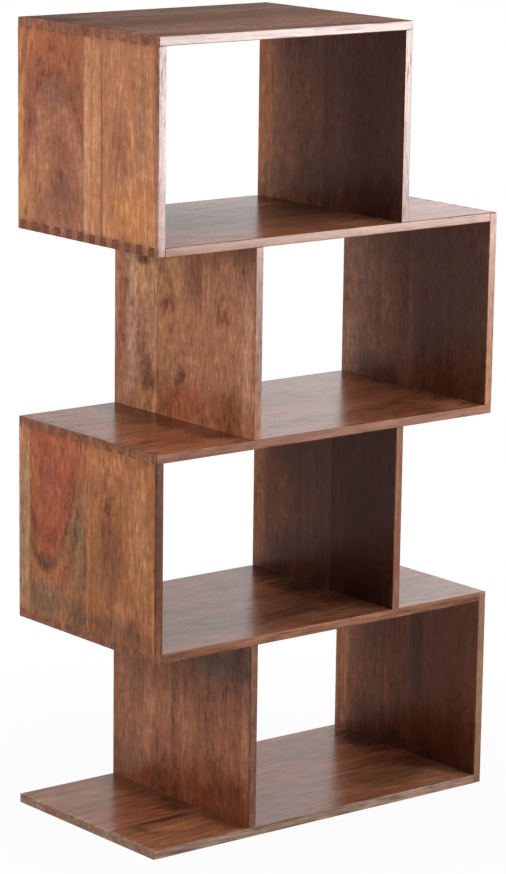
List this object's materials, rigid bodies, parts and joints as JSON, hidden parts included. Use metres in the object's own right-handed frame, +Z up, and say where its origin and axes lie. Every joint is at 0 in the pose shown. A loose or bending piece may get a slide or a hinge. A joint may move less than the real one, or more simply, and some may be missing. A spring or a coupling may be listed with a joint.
{
  "type": "cube bookcase",
  "caption": "Tall free-standing bookcase of open wooden cubes set in turn to the left and the right, with finger-jointed outer corners, for books and display.",
  "frame": {"origin": "on the floor, at the middle of the footprint", "axes": "+X to the right seen from the front, +Y to the back, +Z up"},
  "size_m": [0.75, 0.4, 1.4],
  "materials": {
    "amber_wood": "satin clear lacquer over orange-brown straight-grained wood",
    "russet_wood": "satin clear lacquer over red-brown figured wood",
    "walnut_wood": "satin clear lacquer over mid-brown wood",
    "umber_wood": "satin clear lacquer over dark brown wood",
    "dowel_wood": "raw turned pale wood"
  },
  "bodies": {
    "root": {"base_board_back_stave": "walnut_wood", "base_board_middle_stave": "russet_wood", "base_board_front_stave": "walnut_wood", "lower_shelf_back_stave": "umber_wood", "lower_shelf_middle_stave": "walnut_wood", "lower_shelf_front_stave": "walnut_wood", "middle_shelf_back_stave": "walnut_wood", "middle_shelf_middle_stave": "russet_wood", "middle_shelf_front_stave": "walnut_wood", "upper_shelf_back_stave": "walnut_wood", "upper_shelf_middle_stave": "umber_wood", "upper_shelf_front_stave": "walnut_wood", "top_board_back_stave": "umber_wood", "top_board_middle_stave": "walnut_wood", "top_board_front_stave": "umber_wood", "bottom_left_wall_back_stave": "walnut_wood", "bottom_left_wall_middle_stave": "walnut_wood", "bottom_left_wall_front_stave": "russet_wood", "bottom_right_wall_back_stave": "walnut_wood", "bottom_right_wall_middle_stave": "umber_wood", "bottom_right_wall_front_stave": "umber_wood", "lower_left_wall_back_stave": "amber_wood", "lower_left_wall_middle_stave": "russet_wood", "lower_left_wall_front_stave": "amber_wood", "lower_right_wall_back_stave": "umber_wood", "lower_right_wall_middle_stave": "walnut_wood", "lower_right_wall_front_stave": "umber_wood", "upper_left_wall_back_stave": "walnut_wood", "upper_left_wall_middle_stave": "walnut_wood", "upper_left_wall_front_stave": "russet_wood", "upper_right_wall_back_stave": "walnut_wood", "upper_right_wall_middle_stave": "walnut_wood", "upper_right_wall_front_stave": "umber_wood", "top_left_wall_back_stave": "russet_wood", "top_left_wall_middle_stave": "amber_wood", "top_left_wall_front_stave": "amber_wood", "top_right_wall_back_stave": "russet_wood", "top_right_wall_middle_stave": "umber_wood", "top_right_wall_front_stave": "umber_wood", "bottom_left_wall_bottom_dowel_back": "dowel_wood", "bottom_left_wall_bottom_dowel_middle": "dowel_wood", "bottom_left_wall_bottom_dowel_front": "dowel_wood", "bottom_left_wall_top_dowel_back": "dowel_wood", "bottom_left_wall_top_dowel_middle": "dowel_wood", "bottom_left_wall_top_dowel_front": "dowel_wood", "lower_right_wall_bottom_dowel_back": "dowel_wood", "lower_right_wall_bottom_dowel_middle": "dowel_wood", "lower_right_wall_bottom_dowel_front": "dowel_wood", "lower_right_wall_top_dowel_back": "dowel_wood", "lower_right_wall_top_dowel_middle": "dowel_wood", "lower_right_wall_top_dowel_front": "dowel_wood", "upper_left_wall_bottom_dowel_back": "dowel_wood", "upper_left_wall_bottom_dowel_middle": "dowel_wood", "upper_left_wall_bottom_dowel_front": "dowel_wood", "upper_left_wall_top_dowel_back": "dowel_wood", "upper_left_wall_top_dowel_middle": "dowel_wood", "upper_left_wall_top_dowel_front": "dowel_wood", "top_right_wall_bottom_dowel_back": "dowel_wood", "top_right_wall_bottom_dowel_middle": "dowel_wood", "top_right_wall_bottom_dowel_front": "dowel_wood"}
  },
  "joints": []
}
